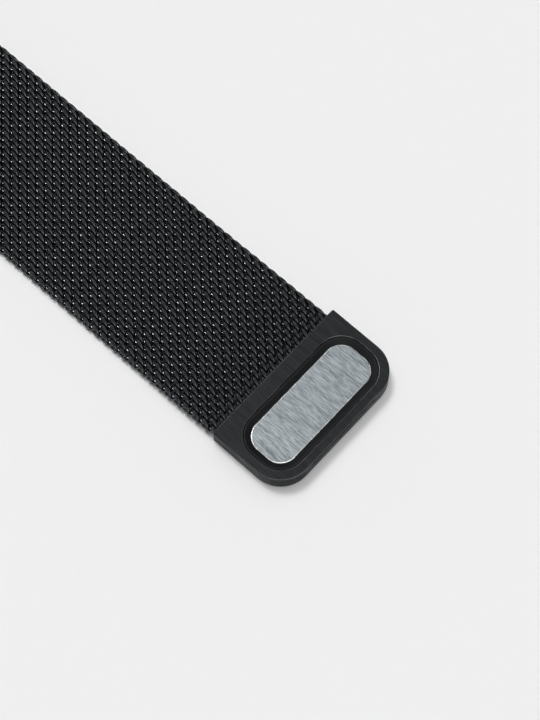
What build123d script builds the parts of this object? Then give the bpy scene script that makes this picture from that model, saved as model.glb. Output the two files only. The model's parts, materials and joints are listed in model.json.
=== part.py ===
from build123d import *
import math
import os

# A woven steel watch band with a magnet clasp, laid out flat with the magnet face up.
# X runs along the band towards the clasp, Y across it and Z up from the table.
# The origin is on the table, under the middle of the band. Lengths are in millimetres.

# Fits that several pieces share
seat_gap = 0.02           # between pieces that are pressed, welded or glued together
running_gap = 0.03        # between round pieces that slide in each other
overrun = 1.0             # how far a cutter passes the face that it cuts

# Mesh: rows of wire spirals side by side, each row turning in the next
mesh_width = 22.0
mesh_thickness = 1.3
row_pitch = 0.788         # from one row's axis to the next
ridge_height = 0.2        # how far a row stands above the dip between rows
scale_depth = 0.3         # how far every second row's end stands out at the edge
scale_notch = 0.16        # length of the step behind each of those ends
row_gap = 0.1             # between a row and the hollow row that it turns in
end_rows = 8              # rows held by the clasp or by the end link
bend_rows = 14            # rows that bend together
runway_rows = 36          # straight rows that the slider runs on
lead_stretches = 8        # bending stretches between the clasp and the runway
tail_stretches = 6        # bending stretches between the runway and the end link

# Steel strip under the last rows, at both ends of the mesh
tab_thickness = 0.5
tab_width = 20.6
tab_hold = 1.5            # how far it reaches into the mesh, and into the clasp or link

# Clasp housing
clasp_length = 11.8
clasp_overhang = 0.21     # beyond the mesh, on each side
clasp_thickness = 2.6
clasp_corner_radius = 4.2
clasp_mouth_chamfer = 0.15
clasp_floor = 0.4
clasp_bottom_round = 0.3
clasp_bevel = 0.07
mesh_rise = 0.45          # the mesh's height over the table at the clasp's mouth

# Pocket in the clasp's magnet face, with a black ring round a steel plate
pocket_mesh_rim = 2.15
pocket_rim = 1.2
pocket_corner_radius = 3.4
ring_groove = 0.07        # fine open line between the ring and the housing
corner_limit_share = 0.48  # of the pocket's shorter side, the most that its corners may take
ring_width = 0.87
ring_sink = 0.05
ring_lip = 0.18           # flat top of the ring, outside its slope
ring_slope_drop = 0.22
plate_thickness = 0.5
plate_sink = 0.34
plate_bevel = 0.08

# Magnets and the steel strip behind them, closed in by the plate
cavity_ledge = 0.35
cavity_corner_radius = 0.5
yoke_thickness = 0.3
magnet_count = 4
magnet_gap = 0.15

# Nail groove in the clasp's end face
nail_groove_length = 11.7
nail_groove_height = 0.5
nail_groove_depth = 0.45
nail_groove_drop = 0.42   # from the magnet face to the groove's upper edge

# Watch ends, for the open 22 mm lug pattern
lug_gap = 22.0
lug_play = 0.25           # between a lug and the tube that stands between the lugs
lug_reach = 2.4           # clear room that a lug needs past its hole
end_tube_radius = 1.5

# Quick-release spring bar
bar_radius = 0.75
bar_play = 0.05           # round the bar in its tube
bar_wall = 0.15
bar_shoulder_gap = 0.1    # from the bar's shoulder to the lug
tip_radius = 0.4
tip_length = 1.1
plug_length = 7.0         # fixed tip's tail in the bar
plunger_length = 7.0      # release tip's tail in the bar
knob_inset = 3.0          # from the bar's shoulder to the knob
knob_post_radius = 0.3
knob_head_radius = 0.55
knob_sink = 0.1           # below the end tube's surface
knob_root = 0.15          # how near the knob's post comes to the bar's axis
window_play = 0.5         # round the knob in the end tube's window
coil_wire = 0.13          # side of the spring's square wire
coil_play = 0.06          # round the spring in the bar
coil_turns = 10
coil_sides = 8            # straight runs in each turn

# Slider: a loop of two round rods between flat cheeks, on a neck and a tube
rod_radius = 0.7
slot_play = 0.17          # between the mesh and a rod, square to the mesh
slot_side_play = 0.35     # between the mesh's edge and a cheek
cheek_thickness = 1.4
cheek_rim = 0.1           # how far a cheek stands out round a rod
cheek_bevel = 0.3
slider_lean = 45.0        # degrees between the loop's plane and the runway
neck_thickness = 1.3

# End link
link_reach = 4.6          # from the tube's axis to the mesh
link_mouth_thickness = 2.1
link_inset = 0.25         # from the mesh's edge to the jaw's side

# Sizes that follow from those above
half_mesh = mesh_thickness / 2
clasp_width = mesh_width + 2 * clasp_overhang
end_tube_length = lug_gap - 2 * lug_play
bar_half = lug_gap / 2 - bar_shoulder_gap
bar_bore_radius = bar_radius - bar_wall
release_travel = tip_length                                     # draws the tip in flush
coil_radius = bar_bore_radius - coil_play - coil_wire / 2       # to the wire's middle
plate_top = clasp_thickness - plate_sink
pocket_floor = plate_top - plate_thickness
pocket_length = clasp_length - pocket_mesh_rim - pocket_rim
pocket_width = clasp_width - 2 * pocket_rim
pocket_x = (pocket_mesh_rim + clasp_length - pocket_rim) / 2
pocket_radius = min(pocket_corner_radius, corner_limit_share * min(pocket_length, pocket_width))
ring_margin = ring_groove + ring_width
plate_length = pocket_length - 2 * ring_margin
plate_width = pocket_width - 2 * ring_margin
plate_radius = pocket_radius - ring_margin
cavity_length = plate_length - 2 * cavity_ledge
cavity_width = plate_width - 2 * cavity_ledge
yoke_top = clasp_floor + seat_gap + yoke_thickness
mouth_height = mesh_rise + half_mesh
lean = math.radians(slider_lean)
slot_half_width = mesh_width / 2 + slot_side_play
rod_spacing = 2 * (half_mesh + slot_play + rod_radius) / math.sin(lean)
cheek_radius = rod_radius + cheek_rim
loop_start = lug_reach + cheek_radius                           # to the first rod's axis
slot_centre = loop_start + rod_spacing / 2
runway_height = slot_centre * math.sin(lean) + end_tube_radius
half_ramp_height = (half_mesh + runway_height) / 2


def box_between(low, high):
    """A block from its lowest to its highest corner."""
    sizes = [end - start for start, end in zip(low, high)]
    centre = [(start + end) / 2 for start, end in zip(low, high)]
    return Pos(*centre) * Box(*sizes)


def round_block(length, width, radius, bottom, top):
    """An upright block with rounded corners, centred on the Z axis."""
    return Pos(0, 0, bottom) * extrude(RectangleRounded(length, width, radius), top - bottom)


def cross_rod(radius, start, end):
    """A round rod along Y from start to end, centred on the Y axis."""
    middle = (start + end) / 2
    return Pos(0, middle, 0) * Rot(90, 0, 0) * Cylinder(radius, end - start)


def stretch_heights():
    """Heights of the mesh's middle at each joint, from the clasp to the end link."""
    flat_lead = [half_mesh] * (lead_stretches - 2)
    flat_tail = [half_mesh] * (tail_stretches - 2)
    climb = [half_ramp_height, runway_height]
    return 2 * [mouth_height] + flat_lead + climb + climb[::-1] + flat_tail + 2 * [end_tube_radius]


def stretch_rows():
    """Rows in each stretch of mesh, from the clasp to the end link."""
    return [end_rows] + [bend_rows] * lead_stretches + [runway_rows] + [bend_rows] * tail_stretches + [end_rows]


def joint_places():
    """X and Z of the mesh's middle at each joint, with X counted from the clasp's mouth."""
    heights = stretch_heights()
    places = [(0, heights[0])]
    for rows, start, end in zip(stretch_rows(), heights, heights[1:]):
        length = rows * row_pitch
        step = math.sqrt(length**2 - (end - start) ** 2)
        places.append((places[-1][0] - step, end))
    return places


band_start = joint_places()[-1][0] - link_reach - end_tube_radius
mouth_x = -(clasp_length + band_start) / 2


def joint_place(number):
    """World X and Z of one joint place."""
    x, z = joint_places()[number]
    return mouth_x + x, z


def mesh_profile(rows, hollow_end, round_end):
    """The mesh from the side: ridged rows, a round row at one end and a hollow one at the other."""
    length = rows * row_pitch
    top = [(0, half_mesh)]
    for row in range(rows):
        crest = row * row_pitch
        top.append((crest + row_pitch / 2, half_mesh - ridge_height))
        top.append((crest + row_pitch, half_mesh))
    bottom = [(x, -z) for x, z in top]
    ridges = Polyline(*bottom, *reversed(top))
    if round_end:
        closing = ThreePointArc((0, half_mesh), (-half_mesh, 0), (0, -half_mesh))
    else:
        closing = Line((0, half_mesh), (0, -half_mesh))
    profile = make_face(ridges.edges() + closing.edges())
    if hollow_end:
        profile -= Pos(length, 0) * Circle(half_mesh + row_gap)
    return profile


def mesh_plan(rows):
    """The mesh from above: slanted scales along both edges, one for every two rows."""
    scale = 2 * row_pitch
    edge = []
    for number in range(-1, rows // 2 + 1):
        edge.append((number * scale, mesh_width / 2))
        edge.append(((number + 1) * scale - scale_notch, mesh_width / 2 - scale_depth))
    length = rows * row_pitch
    far_edge = [(length - x, -y) for x, y in edge]
    return make_face(Polyline(*edge, *far_edge, close=True))


def mesh_stretch(rows, hollow_end=True, round_end=True):
    """One stretch of mesh, from its own joint at X = 0 towards the clasp."""
    profile = mesh_profile(rows, hollow_end, round_end)
    slab = extrude(Plane.XZ * profile, mesh_width / 2, both=True)
    outline = extrude(mesh_plan(rows), mesh_thickness, both=True)
    return slab & outline


def tab_slit(from_x, to_x):
    """Room for the steel strip, at the height of the mesh's middle."""
    half_height = tab_thickness / 2 + seat_gap
    half_width = tab_width / 2 + seat_gap
    return box_between((from_x, -half_width, -half_height), (to_x, half_width, half_height))


def end_tab():
    """The steel strip that joins the mesh to the clasp or link, centred on the mouth."""
    return Box(2 * tab_hold, tab_width, tab_thickness)


def clasp_housing():
    """Clasp body from the mesh's mouth at X = 0, with its floor on the table."""
    outline = Pos(clasp_length / 2, 0) * Rectangle(clasp_length, clasp_width)
    outline = fillet(outline.vertices().group_by(Axis.X)[-1], clasp_corner_radius)
    outline = chamfer(outline.vertices().group_by(Axis.X)[0], clasp_mouth_chamfer)
    body = extrude(outline, clasp_thickness)
    bottom_edges = body.faces().sort_by(Axis.Z)[0].edges()
    mouth_edges = [edge for edge in bottom_edges if edge.center().X < clasp_mouth_chamfer]
    body = fillet([edge for edge in bottom_edges if edge not in mouth_edges], clasp_bottom_round)
    pocket = round_block(pocket_length, pocket_width, pocket_radius, pocket_floor, clasp_thickness + overrun)
    body -= Pos(pocket_x, 0, 0) * pocket
    body = chamfer(body.faces().sort_by(Axis.Z)[-1].edges(), clasp_bevel)
    cavity = round_block(cavity_length, cavity_width, cavity_corner_radius, clasp_floor, pocket_floor + overrun)
    body -= Pos(pocket_x, 0, 0) * cavity
    body -= Pos(0, 0, mouth_height) * tab_slit(-overrun, tab_hold + seat_gap)
    groove = Plane.YZ * SlotOverall(nail_groove_length, nail_groove_height)
    groove_z = clasp_thickness - nail_groove_drop - nail_groove_height / 2
    body -= Pos(clasp_length - nail_groove_depth, 0, groove_z) * extrude(groove, nail_groove_depth + overrun)
    return body


def clasp_ring():
    """Black ring that lines the pocket and slopes down to the plate."""
    top = clasp_thickness - ring_sink
    outer_length = pocket_length - 2 * ring_groove
    outer_width = pocket_width - 2 * ring_groove
    outer_radius = pocket_radius - ring_groove
    ring = round_block(outer_length, outer_width, outer_radius, pocket_floor + seat_gap, top)
    slope_foot = RectangleRounded(plate_length, plate_width, plate_radius)
    slope_angle = math.degrees(math.atan((ring_width - ring_lip) / ring_slope_drop))
    slope = extrude(slope_foot, ring_slope_drop, taper=-slope_angle)
    ring -= Pos(0, 0, top - ring_slope_drop) * slope
    opening_length = plate_length + 2 * seat_gap
    opening_width = plate_width + 2 * seat_gap
    ring -= round_block(opening_length, opening_width, plate_radius + seat_gap, 0, clasp_thickness)
    return Pos(pocket_x, 0, 0) * ring


def clasp_plate():
    """Steel plate over the magnets, with a bevelled edge."""
    plate = round_block(plate_length, plate_width, plate_radius, pocket_floor + seat_gap, plate_top)
    plate = chamfer(plate.faces().sort_by(Axis.Z)[-1].edges(), plate_bevel)
    return Pos(pocket_x, 0, 0) * plate


def clasp_yoke():
    """Steel strip on the cavity's floor, behind the magnets."""
    length = cavity_length - 2 * seat_gap
    width = cavity_width - 2 * seat_gap
    return Pos(pocket_x, 0, 0) * round_block(length, width, cavity_corner_radius, clasp_floor + seat_gap, yoke_top)


def clasp_magnets():
    """Block magnets in a row across the band, between the strip and the plate."""
    length = cavity_length - 2 * magnet_gap
    step = (cavity_width - magnet_gap) / magnet_count
    height = pocket_floor - yoke_top - 2 * seat_gap
    centre_z = (pocket_floor + yoke_top) / 2
    first = -step * (magnet_count - 1) / 2
    magnets = [Pos(pocket_x, first + step * number, centre_z) * Box(length, step - magnet_gap, height)
               for number in range(magnet_count)]
    return Compound(children=magnets)


def bar_bore():
    """Bore of an end tube for the spring bar, and the window that shows its knob on the +Z side."""
    bore = cross_rod(bar_radius + bar_play, -end_tube_length / 2 - overrun, end_tube_length / 2 + overrun)
    reach = knob_head_radius + window_play
    knob_y = bar_half - knob_inset
    low = (-reach, knob_y - release_travel - reach, 0)
    high = (reach, knob_y + reach, end_tube_radius + overrun)
    return bore + box_between(low, high)


def slider_cheek():
    """Flat side of the loop with round ends, its inner face at Y = 0."""
    outline = SlotCenterToCenter(rod_spacing, 2 * cheek_radius)
    cheek = Pos(0, cheek_thickness, 0) * extrude(Plane.XZ * outline, cheek_thickness)
    return chamfer(cheek.faces().sort_by(Axis.Y)[-1].edges(), cheek_bevel)


def slider_loop():
    """Two round rods across the band between two cheeks, centred on the slot."""
    half_rod = slot_half_width + cheek_thickness / 2
    loop = Pos(0, slot_half_width, 0) * slider_cheek()
    loop += Rot(0, 0, 180) * loop
    for side in (-1, 1):
        loop += Pos(side * rod_spacing / 2, 0, 0) * cross_rod(rod_radius, -half_rod, half_rod)
    return loop


def slider_frame():
    """Slider in its own plane: tube at X = 0, then the neck, and the loop that the mesh runs through."""
    tube = cross_rod(end_tube_radius, -end_tube_length / 2, end_tube_length / 2)
    neck = Pos(loop_start / 2, 0, 0) * Box(loop_start, end_tube_length, neck_thickness)
    return tube + neck + Pos(slot_centre, 0, 0) * slider_loop() - bar_bore()


def link_plan():
    """The jaw from above: as wide as the tube beside the lugs, then out to the mesh's width."""
    half_tube = end_tube_length / 2
    half_jaw = mesh_width / 2 - link_inset
    side = [(0, half_tube), (-lug_reach, half_tube), (-link_reach, half_jaw)]
    return make_face(Polyline(*side, *[(x, -y) for x, y in reversed(side)], close=True))


def end_link():
    """Fixed end in its own plane: tube at X = 0 and a jaw towards -X that holds the mesh."""
    tube = cross_rod(end_tube_radius, -end_tube_length / 2, end_tube_length / 2)
    half_mouth = link_mouth_thickness / 2
    corners = [(0, end_tube_radius), (-link_reach, half_mouth), (-link_reach, -half_mouth), (0, -end_tube_radius)]
    jaw = extrude(Plane.XZ * make_face(Polyline(*corners, close=True)), mesh_width, both=True)
    jaw &= extrude(link_plan(), end_tube_radius + overrun, both=True)
    slit = tab_slit(-link_reach - overrun, -link_reach + tab_hold + seat_gap)
    return tube + jaw - slit - bar_bore()


def bar_tube():
    """Spring bar's tube, with a slot for the knob's post."""
    tube = cross_rod(bar_radius, -bar_half, bar_half)
    tube -= cross_rod(bar_bore_radius, -bar_half - overrun, bar_half + overrun)
    reach = knob_post_radius + running_gap
    knob_y = bar_half - knob_inset
    low = (-reach, knob_y - release_travel - reach, 0)
    high = (reach, knob_y + reach, bar_radius + overrun)
    return tube - box_between(low, high)


def fixed_tip():
    """Tip that stays out: its tail is pressed into the bar's tube."""
    tip = cross_rod(tip_radius, -bar_half - tip_length, -bar_half)
    tail = cross_rod(bar_bore_radius - seat_gap, -bar_half, -bar_half + plug_length)
    return tip + tail


def release_tip():
    """Tip that the knob draws in, with a cross hole for the knob's post."""
    tip = cross_rod(tip_radius, bar_half, bar_half + tip_length)
    plunger = cross_rod(bar_bore_radius - running_gap, bar_half - plunger_length, bar_half)
    hole = Pos(0, bar_half - knob_inset, knob_root) * Cylinder(
        knob_post_radius, bar_radius, align=(Align.CENTER, Align.CENTER, Align.MIN))
    return tip + plunger - hole


def release_knob():
    """Knob on a post that stands out through the bar's slot."""
    rising = (Align.CENTER, Align.CENTER, Align.MIN)
    head_bottom = bar_radius + running_gap
    head_top = end_tube_radius - knob_sink
    post = Pos(0, 0, knob_root + seat_gap) * Cylinder(knob_post_radius - seat_gap, head_bottom - knob_root, align=rising)
    head = Pos(0, 0, head_bottom) * Cylinder(knob_head_radius, head_top - head_bottom, align=rising)
    return Pos(0, bar_half - knob_inset, 0) * (post + head)


def bar_coil():
    """Spring between the fixed tip's tail and the pressed release tip, each turn wound of straight runs."""
    start = -bar_half + plug_length + coil_wire
    end = bar_half - plunger_length - release_travel - coil_wire
    runs = coil_turns * coil_sides
    points = []
    for number in range(runs + 1):
        turn = 2 * math.pi * number / coil_sides
        points.append((coil_radius * math.cos(turn), start + (end - start) * number / runs, coil_radius * math.sin(turn)))
    path = Polyline(*points)
    section = Plane(origin=path @ 0, x_dir=(1, 0, 0), z_dir=path % 0) * Rectangle(coil_wire, coil_wire)
    return sweep(section, path=path, transition=Transition.RIGHT)


def spring_bar(name):
    """The five pieces of one spring bar, by node name."""
    return {
        name + "_tube": bar_tube(),
        name + "_fixed_tip": fixed_tip(),
        name + "_release_tip": release_tip(),
        name + "_release_knob": release_knob(),
        name + "_coil": bar_coil(),
    }


def clasp_pieces():
    """The clasp's pieces, counted from the mesh's mouth."""
    return {
        "clasp_housing": clasp_housing(),
        "clasp_ring": clasp_ring(),
        "clasp_plate": clasp_plate(),
        "clasp_magnets": clasp_magnets(),
        "clasp_yoke": clasp_yoke(),
        "clasp_mesh_tab": Pos(0, 0, mouth_height) * end_tab(),
    }


def mesh_pieces():
    """All stretches of the mesh, set end to end along the band's line."""
    rows = stretch_rows()
    last = len(rows) - 1
    pieces = {}
    for number, count in enumerate(rows):
        near_x, near_z = joint_place(number)
        far_x, far_z = joint_place(number + 1)
        stretch = mesh_stretch(count, hollow_end=number > 0, round_end=number < last)
        if number == 0:
            length = count * row_pitch
            stretch -= tab_slit(length - tab_hold - seat_gap, length + overrun)
        if number == last:
            stretch -= tab_slit(-overrun, tab_hold + seat_gap)
        slope = math.degrees(math.atan2(near_z - far_z, near_x - far_x))
        pieces["mesh_stretch_%02d" % (number + 1)] = Pos(far_x, 0, far_z) * Rot(0, -slope, 0) * stretch
    return pieces


def slider_place():
    """Where the slider's tube lies: below the runway's middle, on the side of the clasp."""
    near_x, near_z = joint_place(lead_stretches + 1)
    far_x, far_z = joint_place(lead_stretches + 2)
    x = (near_x + far_x) / 2 + slot_centre * math.cos(lean)
    return Pos(x, 0, near_z - slot_centre * math.sin(lean)) * Rot(0, 180 + slider_lean, 0)


def link_place():
    """Where the end link's tube lies, level with the end of the mesh."""
    x, z = joint_place(len(stretch_rows()))
    return Pos(x - link_reach, 0, z) * Rot(0, 180, 0)


def all_pieces():
    """Every node of the band by name, in its place."""
    pieces = {name: Pos(mouth_x, 0, 0) * piece for name, piece in clasp_pieces().items()}
    pieces.update(mesh_pieces())
    slider = {"slider_frame": slider_frame(), **spring_bar("slider_bar")}
    pieces.update({name: slider_place() * piece for name, piece in slider.items()})
    link = {"end_link": end_link(), **spring_bar("end_bar")}
    pieces.update({name: link_place() * piece for name, piece in link.items()})
    end_x, end_z = joint_place(len(stretch_rows()))
    pieces["end_mesh_tab"] = Pos(end_x, 0, end_z) * end_tab()
    return pieces


os.makedirs("parts", exist_ok=True)
for node, piece in all_pieces().items():
    export_step(piece, "parts/" + node + ".step")
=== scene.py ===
import bpy
import json
import math
import numpy as np
from mathutils import Matrix, Vector

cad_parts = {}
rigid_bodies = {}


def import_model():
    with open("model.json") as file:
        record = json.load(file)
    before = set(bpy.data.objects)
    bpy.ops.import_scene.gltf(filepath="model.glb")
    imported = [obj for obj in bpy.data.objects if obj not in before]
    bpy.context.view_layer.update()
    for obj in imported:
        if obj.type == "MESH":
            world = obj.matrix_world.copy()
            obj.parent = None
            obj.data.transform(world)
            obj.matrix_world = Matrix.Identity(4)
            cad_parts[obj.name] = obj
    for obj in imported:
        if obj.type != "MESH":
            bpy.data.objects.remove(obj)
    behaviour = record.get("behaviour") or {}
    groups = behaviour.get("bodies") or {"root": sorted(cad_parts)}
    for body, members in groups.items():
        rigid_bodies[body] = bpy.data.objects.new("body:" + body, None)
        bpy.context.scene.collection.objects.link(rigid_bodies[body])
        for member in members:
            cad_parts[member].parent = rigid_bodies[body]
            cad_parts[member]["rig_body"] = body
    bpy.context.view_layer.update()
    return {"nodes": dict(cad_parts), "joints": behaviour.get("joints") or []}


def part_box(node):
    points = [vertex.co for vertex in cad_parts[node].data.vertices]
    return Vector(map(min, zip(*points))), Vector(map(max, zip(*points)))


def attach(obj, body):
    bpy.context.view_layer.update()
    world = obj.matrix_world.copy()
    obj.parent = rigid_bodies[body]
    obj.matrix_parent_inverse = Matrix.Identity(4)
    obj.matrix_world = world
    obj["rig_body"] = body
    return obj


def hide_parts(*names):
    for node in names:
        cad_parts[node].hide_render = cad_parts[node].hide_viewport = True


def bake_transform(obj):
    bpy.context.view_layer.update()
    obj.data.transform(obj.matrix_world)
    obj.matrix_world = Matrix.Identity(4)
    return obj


# Looks of the woven watch band. X runs along the band towards the clasp, Y across it, Z is up.
mm = 0.001

# Weave, in millimetres
row_pitch = 0.788         # from one wire row's axis to the next
turn_pitch = 1.505        # how far a wire goes across the band in one turn
tops = 15                 # upper arcs of every other wire row, the rows between have one less
weave_shift_y = -0.06     # of the arcs' middle from the band's middle
edge_low_y = -11.05       # how far the wires' middles go towards each edge of the mesh
edge_high_y = 10.25
edge_softness = 0.25      # over how far they come to a stop there
rolled_half_thickness = 0.64    # from the mesh's middle to its rolled faces
coil_reach = 0.86         # from a row's axis to the wire's middle, along the band
coil_height = 0.375       # from a row's axis to the wire's middle, up and down
wire_radius = 0.24
side_gain = -0.04         # how much thicker the wire is at its bends
coil_rise = 0.075         # of a row's axis over the middle of the mesh
lower_gain = 0.095        # how much thicker the wire is on the band's underside
upper_widening = 0.02     # how much wider rolling leaves the wire on the band's top
lower_widening = 0.10     # and on its underside
rolled_from = 0.625       # height over the mesh's middle where rolling starts to flatten the wire
first_row_x = -0.81       # of the first whole row, from the clasp's mouth
lean_places = (0, 16, 36)              # distances from the clasp's mouth
lean_shares = (0.02, 0.024, 0.0445)    # how far a row runs along the band for each millimetre across it
row_jitter = 0.008        # spread of the rows' small slips along the band and across it
end_turn_share = 0.12     # of a turn, how far a wire goes past its last half turn
end_taper_share = 0.55    # of the wire's thickness that is left at its ends
ring_spare = 0.1          # radians of a turn, the least from a wire's end to its next ring
path_smoothing_rows = 5   # how many rows each way the band's line is averaged over
end_margin = 10           # how far past the mesh's ends rows are still looked for
weave_seed = 7

# Degrees of a wire's rings round its turn, from the top, and of the points round the wire, from outward
turn_degrees = (-150, -118, -90, -70, -52, -40, -27, -14, 0, 14, 27, 40, 52, 70, 90, 118, 150, 180)
ring_degrees = (0, 18, 36, 54, 80, 120, 180, -120, -80, -54, -36, -18)

# Finishes: colours from dark to light, and noises by their turns a metre along X, Y and Z
noise_span = (0.3, 0.7)           # nearly all of a noise's values lie between these
wire_black_and_painted_sheen = ((0.0015, 0.0018, 0.0021), (0.155, 0.17, 0.185))    # the wire's black outside, and inside the mesh a brighter metallic colour, a painted sheen that brightens the softboxes' glints there
painted_sheen_span = (0.15, 0.6)     # how far inside the mesh the wire's painted sheen starts, and where it is full
wire_roughness = (0.14, 0.86)     # of the drawn wire and of its rolled flats
clasp_colors = ((0.003, 0.0035, 0.004), (0.018, 0.0195, 0.021))
fitting_colors = ((0.0015, 0.002, 0.0025), (0.013, 0.0145, 0.016))
ring_colors = ((0.003, 0.0035, 0.004), (0.007, 0.0075, 0.008))
plate_colors = ((0.05, 0.058, 0.063), (0.215, 0.237, 0.248))
bare_colors = ((0.36, 0.36, 0.36), (0.55, 0.55, 0.54))
nickel_colors = ((0.5, 0.5, 0.47), (0.68, 0.67, 0.63))
worn_edge_colors = ((0.025, 0.027, 0.029), (0.09, 0.097, 0.104))
plate_edge_colors = ((0.32, 0.34, 0.35), (0.5, 0.52, 0.53))
brushed_along = (300, 4500, 4500)
brushed_across = (4500, 300, 4500)
turned_across = (600, 9000, 600)
even_grain = (900, 900, 900)

# Broken edges of the CAD pieces, in millimetres
edge_widths = {"clasp_housing": 0.04, "slider_frame": 0.05, "end_link": 0.05}
plate_edge_width = 0.07
edge_angle = 40           # degrees between two faces from which their edge is broken
weld_distance = 0.001     # joins the faces, which the CAD mesh leaves apart

# Light: a softbox has a direction, the degrees at which it starts to fade and ends, and a strength
backdrop = (0.87, 0.87, 0.87)
fill = 0.09               # brightness of the sky between the softboxes
horizon = 0.87            # brightness near the horizon, the backdrop's own
horizon_fade = (0.15, 0.3)    # upward share of a direction, between which the horizon fades out
softboxes = [
    ((-0.41, 0.10, 0.89), 6, 11, 16.0),
    ((0.14, -0.06, 0.99), 6, 22, 4.2),
    ((-0.3, 0.3, 0.9), 20, 38, 0.9),
]

# Camera of the photograph, in millimetres from the clasp's mouth, and in degrees
camera_from_mouth = (60.856, -67.523, 235.96)
camera_lens = 100.23
camera_elevation = 68.428
camera_heading = 132.284

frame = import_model()
nodes = frame["nodes"]
mouth_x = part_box("clasp_housing")[0].x / mm
mesh_end_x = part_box("mesh_stretch_17")[0].x / mm


# Mesh building

def grid_mesh(name, points, faces, normals, rolled, painted_sheen_share):
    """A smooth mesh of four-sided faces, with the surface's normal and two more values at each point."""
    mesh = bpy.data.meshes.new(name)
    mesh.vertices.add(len(points))
    mesh.vertices.foreach_set("co", (points * mm).astype(np.float32).ravel())
    mesh.loops.add(4 * len(faces))
    mesh.loops.foreach_set("vertex_index", faces.astype(np.int32).ravel())
    mesh.polygons.add(len(faces))
    mesh.polygons.foreach_set("loop_start", 4 * np.arange(len(faces), dtype=np.int32))
    mesh.polygons.foreach_set("use_smooth", np.ones(len(faces), dtype=bool))
    mesh.update(calc_edges=True)
    # How far each point is rolled, and its share of the wire's painted sheen
    for label, values in (("rolled", rolled), ("painted_sheen_share", painted_sheen_share)):
        mesh.attributes.new(label, "FLOAT", "POINT").data.foreach_set("value", values.astype(np.float32))
    mesh.validate()
    mesh.normals_split_custom_set_from_vertices(normals.astype(np.float32))
    piece = bpy.data.objects.new(name, mesh)
    bpy.context.scene.collection.objects.link(piece)
    return piece


# The band's line

def hinge_places():
    """X and Z of the mesh's middle at both its ends and at each hinge, from the clasp on, in millimetres."""
    hinges = [joint for joint in frame["joints"] if joint["name"].startswith("mesh_bend")]
    places = [(joint["pos_m"][0] / mm, joint["pos_m"][2] / mm) for joint in hinges]
    return [(mouth_x, places[0][1])] + places + [(mesh_end_x, places[-1][1])]


def row_centres(count):
    """Middle of each row on the band's line, and the line's direction there, towards the clasp."""
    corners = np.array(hinge_places())
    steps = np.diff(corners, axis=0)
    lengths = np.hypot(steps[:, 0], steps[:, 1])
    ends = np.concatenate([[0], np.cumsum(lengths)])
    reach = path_smoothing_rows * row_pitch
    start_direction = steps[0] / lengths[0]
    end_direction = steps[-1] / lengths[-1]
    centres = np.zeros((count, 2))
    for row in range(count):
        distance = -first_row_x + (row - 1) * row_pitch
        around = np.linspace(distance - reach, distance + reach, 2 * path_smoothing_rows + 1)
        points = np.stack([np.interp(around, ends, corners[:, 0]), np.interp(around, ends, corners[:, 1])], 1)
        before = np.minimum(around, 0)[:, None] * start_direction
        past = np.maximum(around - ends[-1], 0)[:, None] * end_direction
        centres[row] = (points + before + past).mean(0)
    towards_clasp = -np.gradient(centres, axis=0)
    towards_clasp /= np.hypot(towards_clasp[:, 0], towards_clasp[:, 1])[:, None]
    return centres, towards_clasp


# Wire rows

def flatten_rolled(height):
    """Heights over the mesh's middle, softly pressed to the rolled faces, and what is left of their slope."""
    room = rolled_half_thickness - rolled_from
    excess = np.maximum(np.abs(height) - rolled_from, 0) / room
    pressed = np.sign(height) * (np.minimum(np.abs(height), rolled_from) + room * np.tanh(excess))
    return pressed, 1 / np.cosh(np.minimum(excess, 20)) ** 2


def press_between(value, low, high, softness):
    """Values kept between two limits, with a soft start."""
    over = np.maximum(value - (high - softness), 0)
    under = np.maximum((low + softness) - value, 0)
    return value - over + softness * np.tanh(over / softness) + under - softness * np.tanh(under / softness)


def unit(vectors):
    """Vectors brought to a length of 1."""
    return vectors / np.linalg.norm(vectors, axis=-1)[..., None]


def wire_angles(full_row):
    """Where the rings of one wire row lie along its turns, in radians, from its first end to its last."""
    whole = 2 * math.pi
    stub = end_turn_share * whole
    first = (0 if full_row else -math.pi) - stub
    last = first + (tops - 0.5) * whole + 2 * stub
    places = np.radians(turn_degrees) + math.pi / 2
    angle = (places[None] + whole * np.arange(-1, tops + 1)[:, None]).ravel()
    between = angle[(angle > first + ring_spare) & (angle < last - ring_spare)]
    return np.concatenate([[first], between, [last]])


def wire_path(angle, full_row, random):
    """The wire's middle about its row's own axis: along the band, across it and up."""
    first_top = -(tops - 1) / 2 if full_row else -(tops - 2) / 2
    across = weave_shift_y + turn_pitch * (first_top + (angle - math.pi / 2) / (2 * math.pi))
    across = press_between(across, edge_low_y, edge_high_y, edge_softness)
    along = coil_reach * np.cos(angle)
    up = coil_rise + coil_height * np.sin(angle)
    slip = random.normal(0, row_jitter, 3) * np.array([1, 1, 0])
    return np.stack([along, across, up], 1) + slip


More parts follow.
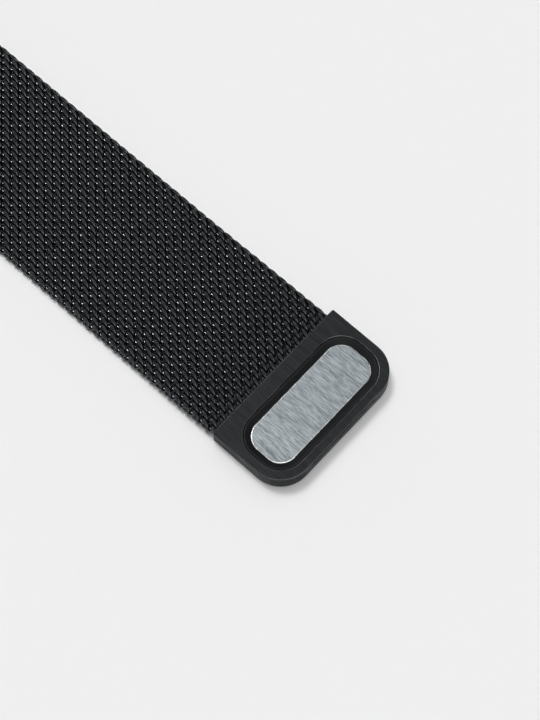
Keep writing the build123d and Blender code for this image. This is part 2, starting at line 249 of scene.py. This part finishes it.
def wire_points(full_row, random):
    """Surface points of one wire row about its own axis, in rings, and their normals.

    With them come how far the rolling reaches each point and how far it lies inside the mesh, on a
    lower arc, both from 0 to 1; the second is where the wire's colour gets its painted sheen."""
    angle = wire_angles(full_row)
    cos, sin = np.cos(angle), np.sin(angle)
    centre = wire_path(angle, full_row, random)
    tangent = unit(np.gradient(centre, angle, axis=0))
    outward = np.stack([cos / coil_reach, np.zeros_like(cos), sin / coil_height], 1)
    outward = unit(outward - (outward * tangent).sum(1)[:, None] * tangent)
    side = np.cross(tangent, outward)
    to_end = np.minimum(angle - angle[0], angle[-1] - angle) / (end_turn_share * 2 * math.pi)
    taper = end_taper_share + (1 - end_taper_share) * np.clip(to_end, 0, 1) ** 0.5
    upper, lower = np.maximum(sin, 0) ** 2, np.maximum(-sin, 0) ** 2
    radius = (wire_radius + side_gain * cos ** 2 + lower_gain * lower) * taper
    widening = upper_widening * upper + lower_widening * lower
    half_width = (radius + widening * taper)[:, None]
    radius = radius[:, None]
    turn = np.radians(ring_degrees)
    sin_turn, cos_turn = np.sin(turn)[None, :, None], np.cos(turn)[None, :, None]
    points = centre[:, None] + sin_turn * (side * half_width)[:, None]
    points += cos_turn * (outward * radius)[:, None]
    normals = unit(sin_turn * (side / half_width)[:, None] + cos_turn * (outward / radius)[:, None])
    past_rolling = np.abs(points[..., 2]) - rolled_from
    rolled = np.clip(past_rolling / (rolled_half_thickness - rolled_from), 0, 1)
    points[..., 2], steepness = flatten_rolled(points[..., 2])
    normals[..., :2] *= steepness[..., None]
    # Share of the painted sheen: the upward inner faces of the lower arcs, inside the mesh, get a brighter
    # metallic colour
    painted_sheen_share = np.clip(-sin, 0, 1)[:, None] * np.clip(-np.cos(turn), 0, 1)[None]
    return points.reshape(-1, 3), unit(normals).reshape(-1, 3), rolled.ravel(), painted_sheen_share.ravel()


def wire_faces(rings):
    """Four-sided faces of a closed tube, with its two ends shut."""
    count = len(ring_degrees)
    sides = np.arange(count)
    following = (sides + 1) % count
    faces = []
    for ring in range(rings - 1):
        low = ring * count
        high = low + count
        faces.append(np.stack([low + sides, low + following, high + following, high + sides], 1))
    last = (rings - 1) * count
    for step in range(count // 2 - 1):
        cap = [step, step + 1, count - 2 - step, count - 1 - step]
        faces.append(np.array([cap[::-1]]))
        faces.append(np.array([cap]) + last)
    return np.concatenate(faces)


def lean_at(x):
    """Share of a row's lean at a place on the band."""
    return np.interp(mouth_x - x, lean_places, lean_shares)


def turn_to(vectors, towards):
    """Vectors along a row's own axes, turned so that its X runs along a direction in X and Z."""
    x = vectors[:, 0] * towards[0] - vectors[:, 2] * towards[1]
    z = vectors[:, 0] * towards[1] + vectors[:, 2] * towards[0]
    return np.stack([x, vectors[:, 1], z], 1)


def weave_piece(name, rows, centres, directions, random):
    """Wire rows of one piece of the mesh, interlinked, as one object."""
    wires = []
    count = 0
    for row in rows:
        points, normals, rolled, painted_sheen_share = wire_points(row % 2 == 0, random)
        x, z = centres[row]
        points[:, 0] += lean_at(x) * points[:, 1]
        placed = turn_to(points, directions[row]) + np.array([x, 0, z])
        faces = wire_faces(len(points) // len(ring_degrees)) + count
        wires.append((placed, faces, turn_to(normals, directions[row]), rolled, painted_sheen_share))
        count += len(points)
    return grid_mesh(name, *[np.concatenate(parts) for parts in zip(*wires)])


def body_of(node):
    """The body that a CAD node rides on."""
    return nodes[node]["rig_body"]


def carry_weave(piece, number, places):
    """Lets the mesh's end pieces ride on their bodies, and keeps each other piece, which spans a hinge, where
    it was built.
    """
    last = len(places) - 1
    if number == 0:
        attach(piece, body_of("mesh_stretch_01"))
    elif number == last:
        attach(piece, body_of("mesh_stretch_%02d" % number))
    else:
        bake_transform(piece)
    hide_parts("mesh_stretch_%02d" % min(number + 1, last))


def build_weave():
    """The whole mesh: one piece across each hinge, and one at each end."""
    places = np.array(hinge_places())
    last = len(places) - 1
    count = int((mouth_x - mesh_end_x) / row_pitch) + 2
    centres, directions = row_centres(count)
    middles = (places[:-1, 0] + places[1:, 0]) / 2
    random = np.random.default_rng(weave_seed)
    pieces = []
    for number in range(last + 1):
        near = mouth_x + end_margin if number == 0 else middles[number - 1]
        far = middles[number] if number < last else mesh_end_x - end_margin
        rows = [row for row in range(count) if far < centres[row][0] <= near]
        piece = weave_piece("weave_%02d" % number, rows, centres, directions, random)
        carry_weave(piece, number, places)
        pieces.append(piece)
    return pieces


# Materials

def new_material(name):
    """A material with nodes, its main shader and its node tree."""
    material = bpy.data.materials.new(name)
    material.use_nodes = True
    tree = material.node_tree
    return material, tree, tree.nodes["Principled BSDF"]


def stretched_noise(tree, scale, detail, roughness=0.6):
    """Noise in the object's own space, stretched by three scales in turns a metre."""
    place = tree.nodes.new("ShaderNodeTexCoord")
    mapping = tree.nodes.new("ShaderNodeMapping")
    mapping.inputs["Scale"].default_value = scale
    noise = tree.nodes.new("ShaderNodeTexNoise")
    noise.inputs["Scale"].default_value = 1
    noise.inputs["Detail"].default_value = detail
    noise.inputs["Roughness"].default_value = roughness
    tree.links.new(place.outputs["Object"], mapping.inputs["Vector"])
    tree.links.new(mapping.outputs["Vector"], noise.inputs["Vector"])
    return noise.outputs["Fac"]


def ramp(tree, value, span, colors):
    """Turns a value within a span into a colour between two."""
    node = tree.nodes.new("ShaderNodeValToRGB")
    for element, place, color in zip(node.color_ramp.elements, span, colors):
        element.position = place
        element.color = (*color, 1)
    tree.links.new(value, node.inputs["Fac"])
    return node.outputs["Color"]


def spread(tree, value, span, ends, interpolation="LINEAR"):
    """Turns a value within a span into one between two ends."""
    node = tree.nodes.new("ShaderNodeMapRange")
    node.interpolation_type = interpolation
    for name, number in zip(("From Min", "From Max", "To Min", "To Max"), (*span, *ends)):
        node.inputs[name].default_value = number
    tree.links.new(value, node.inputs["Value"])
    return node.outputs["Result"]


def combine(tree, operation, first, second):
    """Adds or multiplies two values."""
    node = tree.nodes.new("ShaderNodeMath")
    node.operation = operation
    tree.links.new(first, node.inputs[0])
    tree.links.new(second, node.inputs[1])
    return node.outputs["Value"]


def add_bump(tree, shader, value, distance):
    """Raises the surface by a value times a distance in metres."""
    node = tree.nodes.new("ShaderNodeBump")
    node.inputs["Distance"].default_value = distance
    tree.links.new(value, node.inputs["Height"])
    tree.links.new(node.outputs["Normal"], shader.inputs["Normal"])


def point_value(tree, label):
    """One of the two values that the wires carry at each point."""
    node = tree.nodes.new("ShaderNodeAttribute")
    node.attribute_name = label
    return node.outputs["Fac"]


def wire_finish():
    """Glossy drawn wire with satin flats where it was rolled; inside the mesh, on its lower arcs, a brighter
    metallic colour is a painted sheen that brightens the softboxes' glints.
    """
    material, tree, shader = new_material("mesh_wire")
    wear = stretched_noise(tree, even_grain, 3)
    grain = stretched_noise(tree, (9000, 9000, 9000), 2)
    # Painted sheen: brighter and metallic on the lower arcs inside the mesh, so the softboxes' glints show
    # there
    painted_sheen_share = point_value(tree, "painted_sheen_share")
    tree.links.new(ramp(tree, painted_sheen_share, painted_sheen_span, wire_black_and_painted_sheen), shader.inputs["Base Color"])
    tree.links.new(spread(tree, painted_sheen_share, painted_sheen_span, (0, 1)), shader.inputs["Metallic"])
    satin = spread(tree, point_value(tree, "rolled"), (0, 1), wire_roughness)
    roughness = combine(tree, "MULTIPLY", satin, spread(tree, wear, noise_span, (0.85, 1.15)))
    tree.links.new(roughness, shader.inputs["Roughness"])
    shader.inputs["Specular IOR Level"].default_value = 0.7
    shader.inputs["Specular Tint"].default_value = (0.9, 0.96, 1, 1)
    add_bump(tree, shader, grain, 3e-7)
    return material


def black_steel(name, brushing, colors, roughness):
    """Black coated steel, brushed with a noise, with a span of roughness."""
    material, tree, shader = new_material(name)
    streaks = stretched_noise(tree, brushing, 4, 0.7)
    patches = stretched_noise(tree, (180, 180, 180), 3)
    tree.links.new(ramp(tree, streaks, (0.35, 0.68), colors), shader.inputs["Base Color"])
    tree.links.new(spread(tree, patches, noise_span, roughness), shader.inputs["Roughness"])
    shader.inputs["Specular IOR Level"].default_value = 0.1
    shader.inputs["Specular Tint"].default_value = (0.88, 0.96, 1, 1)
    add_bump(tree, shader, streaks, 3e-6)
    return material


def ring_finish():
    """Semi-matte black plastic."""
    material, tree, shader = new_material("ring_plastic")
    patches = stretched_noise(tree, (300, 300, 300), 4)
    grain = stretched_noise(tree, (12000, 12000, 12000), 2)
    tree.links.new(ramp(tree, patches, noise_span, ring_colors), shader.inputs["Base Color"])
    tree.links.new(spread(tree, patches, noise_span, (0.36, 0.46)), shader.inputs["Roughness"])
    shader.inputs["Specular IOR Level"].default_value = 0.1
    add_bump(tree, shader, grain, 3e-6)
    return material


def plate_finish():
    """Bare steel, brushed along the band with fine lines and broader patches."""
    material, tree, shader = new_material("magnet_plate")
    fine = stretched_noise(tree, (800, 9500, 9500), 2)
    broad = stretched_noise(tree, (250, 1500, 1500), 3, 0.7)
    both = combine(tree, "ADD", spread(tree, fine, noise_span, (0, 0.8)),
                   spread(tree, broad, noise_span, (0, 0.2)))
    tree.links.new(ramp(tree, both, (0.1, 0.9), plate_colors), shader.inputs["Base Color"])
    tree.links.new(spread(tree, fine, noise_span, (0.34, 0.46)), shader.inputs["Roughness"])
    shader.inputs["Metallic"].default_value = 0.8
    add_bump(tree, shader, fine, 4e-6)
    return material


def steel_finish(name, colors, scale, roughness):
    """Bare or plated metal, with a noise between two colours and a span of roughness."""
    material, tree, shader = new_material(name)
    grain = stretched_noise(tree, scale, 3)
    tree.links.new(ramp(tree, grain, noise_span, colors), shader.inputs["Base Color"])
    tree.links.new(spread(tree, grain, noise_span, roughness), shader.inputs["Roughness"])
    shader.inputs["Metallic"].default_value = 0.9
    add_bump(tree, shader, grain, 2e-6)
    return material


def break_edge(node, width, edge_material):
    """Breaks a CAD node's sharp edges by a width in millimetres, in a material of their own."""
    nodes[node].data.materials.append(edge_material)
    weld = nodes[node].modifiers.new("joined_faces", "WELD")
    weld.merge_threshold = weld_distance * mm
    bevel = nodes[node].modifiers.new("broken_edges", "BEVEL")
    bevel.use_clamp_overlap = False
    bevel.material = 1
    bevel.width = width * mm
    bevel.segments = 2
    bevel.limit_method = "ANGLE"
    bevel.angle_limit = math.radians(edge_angle)


def dress(material, *names):
    """Gives CAD nodes a material."""
    for name in names:
        slots = nodes[name].data.materials
        slots.clear()
        slots.append(material)


def dress_nodes():
    """Gives every CAD node its material, and breaks the edges of the clasp, slider and end link."""
    clasp = black_steel("clasp_steel", brushed_along, clasp_colors, (0.36, 0.46))
    fittings = black_steel("fitting_steel", brushed_across, fitting_colors, (0.34, 0.44))
    bare = steel_finish("bare_steel", bare_colors, turned_across, (0.25, 0.37))
    nickel = steel_finish("magnet_nickel", nickel_colors, even_grain, (0.18, 0.3))
    worn_edge = steel_finish("worn_black_edge", worn_edge_colors, (300, 300, 300), (0.2, 0.32))
    plate_edge = steel_finish("plate_edge", plate_edge_colors, even_grain, (0.2, 0.32))
    dress(clasp, "clasp_housing")
    dress(fittings, "slider_frame", "end_link", "clasp_mesh_tab", "end_mesh_tab")
    dress(ring_finish(), "clasp_ring")
    dress(plate_finish(), "clasp_plate")
    dress(nickel, "clasp_magnets")
    dress(bare, "clasp_yoke")
    for bar in ("slider_bar", "end_bar"):
        dress(bare, *[bar + end for end in ("_tube", "_fixed_tip", "_release_tip", "_release_knob", "_coil")])
    for node, width in edge_widths.items():
        break_edge(node, width, worn_edge)
    break_edge("clasp_plate", plate_edge_width, plate_edge)


# Floor, light and camera

def add_floor():
    """A wide plain floor."""
    bpy.ops.mesh.primitive_plane_add(size=4)
    floor = bpy.context.object
    floor.name = "floor"
    material, _, shader = new_material("floor")
    shader.inputs["Base Color"].default_value = (*backdrop, 1)
    shader.inputs["Roughness"].default_value = 0.9
    shader.inputs["Specular IOR Level"].default_value = 0
    floor.data.materials.append(material)


def sky_patch(tree, place, direction, inner_degrees, outer_degrees, strength):
    """Brightness of a round softbox far away, even inside and fading out between its two radii."""
    dot = tree.nodes.new("ShaderNodeVectorMath")
    dot.operation = "DOT_PRODUCT"
    dot.inputs[1].default_value = Vector(direction).normalized()
    tree.links.new(place, dot.inputs[0])
    span = (math.cos(math.radians(outer_degrees)), math.cos(math.radians(inner_degrees)))
    return spread(tree, dot.outputs["Value"], span, (0, strength), "SMOOTHSTEP")


def add_world():
    """A dim studio with softboxes and a horizon as pale as the backdrop."""
    world = bpy.data.worlds.new("studio")
    bpy.context.scene.world = world
    world.use_nodes = True
    tree = world.node_tree
    light = tree.nodes["Background"]
    light.inputs["Color"].default_value = (1, 1, 1, 1)
    place = tree.nodes.new("ShaderNodeTexCoord").outputs["Generated"]
    parts = tree.nodes.new("ShaderNodeSeparateXYZ")
    tree.links.new(place, parts.inputs["Vector"])
    brightness = spread(tree, parts.outputs["Z"], horizon_fade, (horizon, fill), "SMOOTHSTEP")
    for softbox in softboxes:
        brightness = combine(tree, "ADD", brightness, sky_patch(tree, place, *softbox))
    tree.links.new(brightness, light.inputs["Strength"])


def add_camera():
    """The photograph's camera."""
    away, across, height = camera_from_mouth
    place = Vector((mouth_x + away, across, height)) * mm
    elevation = math.radians(camera_elevation)
    heading = math.radians(camera_heading)
    right = Vector((math.sin(heading), -math.cos(heading), 0))
    forward = Vector((math.cos(heading) * math.cos(elevation), math.sin(heading) * math.cos(elevation),
                      -math.sin(elevation)))
    up = right.cross(forward)
    camera_data = bpy.data.cameras.new("camera")
    camera_data.lens = camera_lens
    camera_data.clip_start = 0.01
    camera_data.clip_end = 10
    camera = bpy.data.objects.new("camera", camera_data)
    bpy.context.scene.collection.objects.link(camera)
    turn = Matrix((right, up, -forward)).transposed()
    camera.matrix_world = Matrix.Translation(place) @ turn.to_4x4()
    bpy.context.scene.camera = camera


# The scene

weave = build_weave()
wire = wire_finish()
for piece in weave:
    piece.data.materials.append(wire)
dress_nodes()
add_floor()
add_world()
add_camera()
bpy.context.scene.view_settings.view_transform = "Standard"
